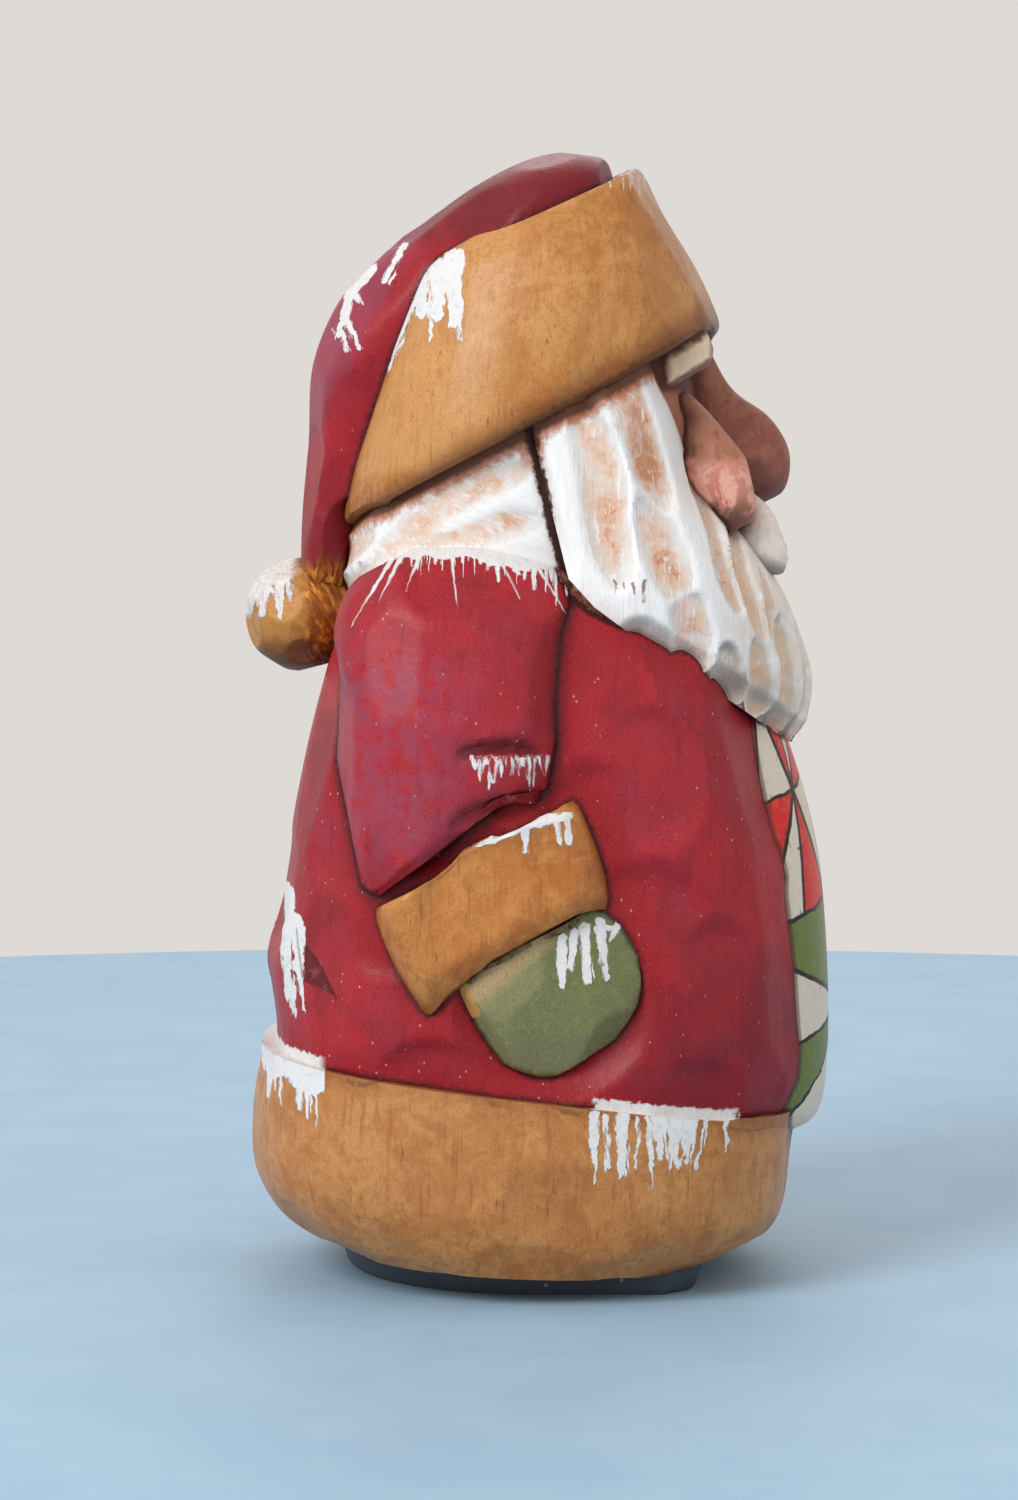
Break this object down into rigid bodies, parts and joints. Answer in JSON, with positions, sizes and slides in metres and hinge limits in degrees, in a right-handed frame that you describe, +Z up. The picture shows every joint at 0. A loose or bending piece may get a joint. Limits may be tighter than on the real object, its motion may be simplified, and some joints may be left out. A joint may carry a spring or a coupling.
{
  "type": "carved santa figure",
  "caption": "Small Father Christmas ornament, knife-carved from one wood block and painted: long coat, full beard, hanging hat tail, quilt panel in front; stands on its boots.",
  "frame": {"origin": "centre of the bounding box's underside, on the plane of the boot soles", "axes": "+Z up from the soles to the hat, -Y the way he faces, +X towards his left"},
  "size_m": [0.0634, 0.0668, 0.1269],
  "materials": {
    "painted_wood": "hand-painted with thin acrylics under a satin varnish, dark glaze left in the cuts, knife facets and wood grain showing through"
  },
  "bodies": {
    "root": {"carved_santa": "painted_wood"}
  },
  "joints": []
}
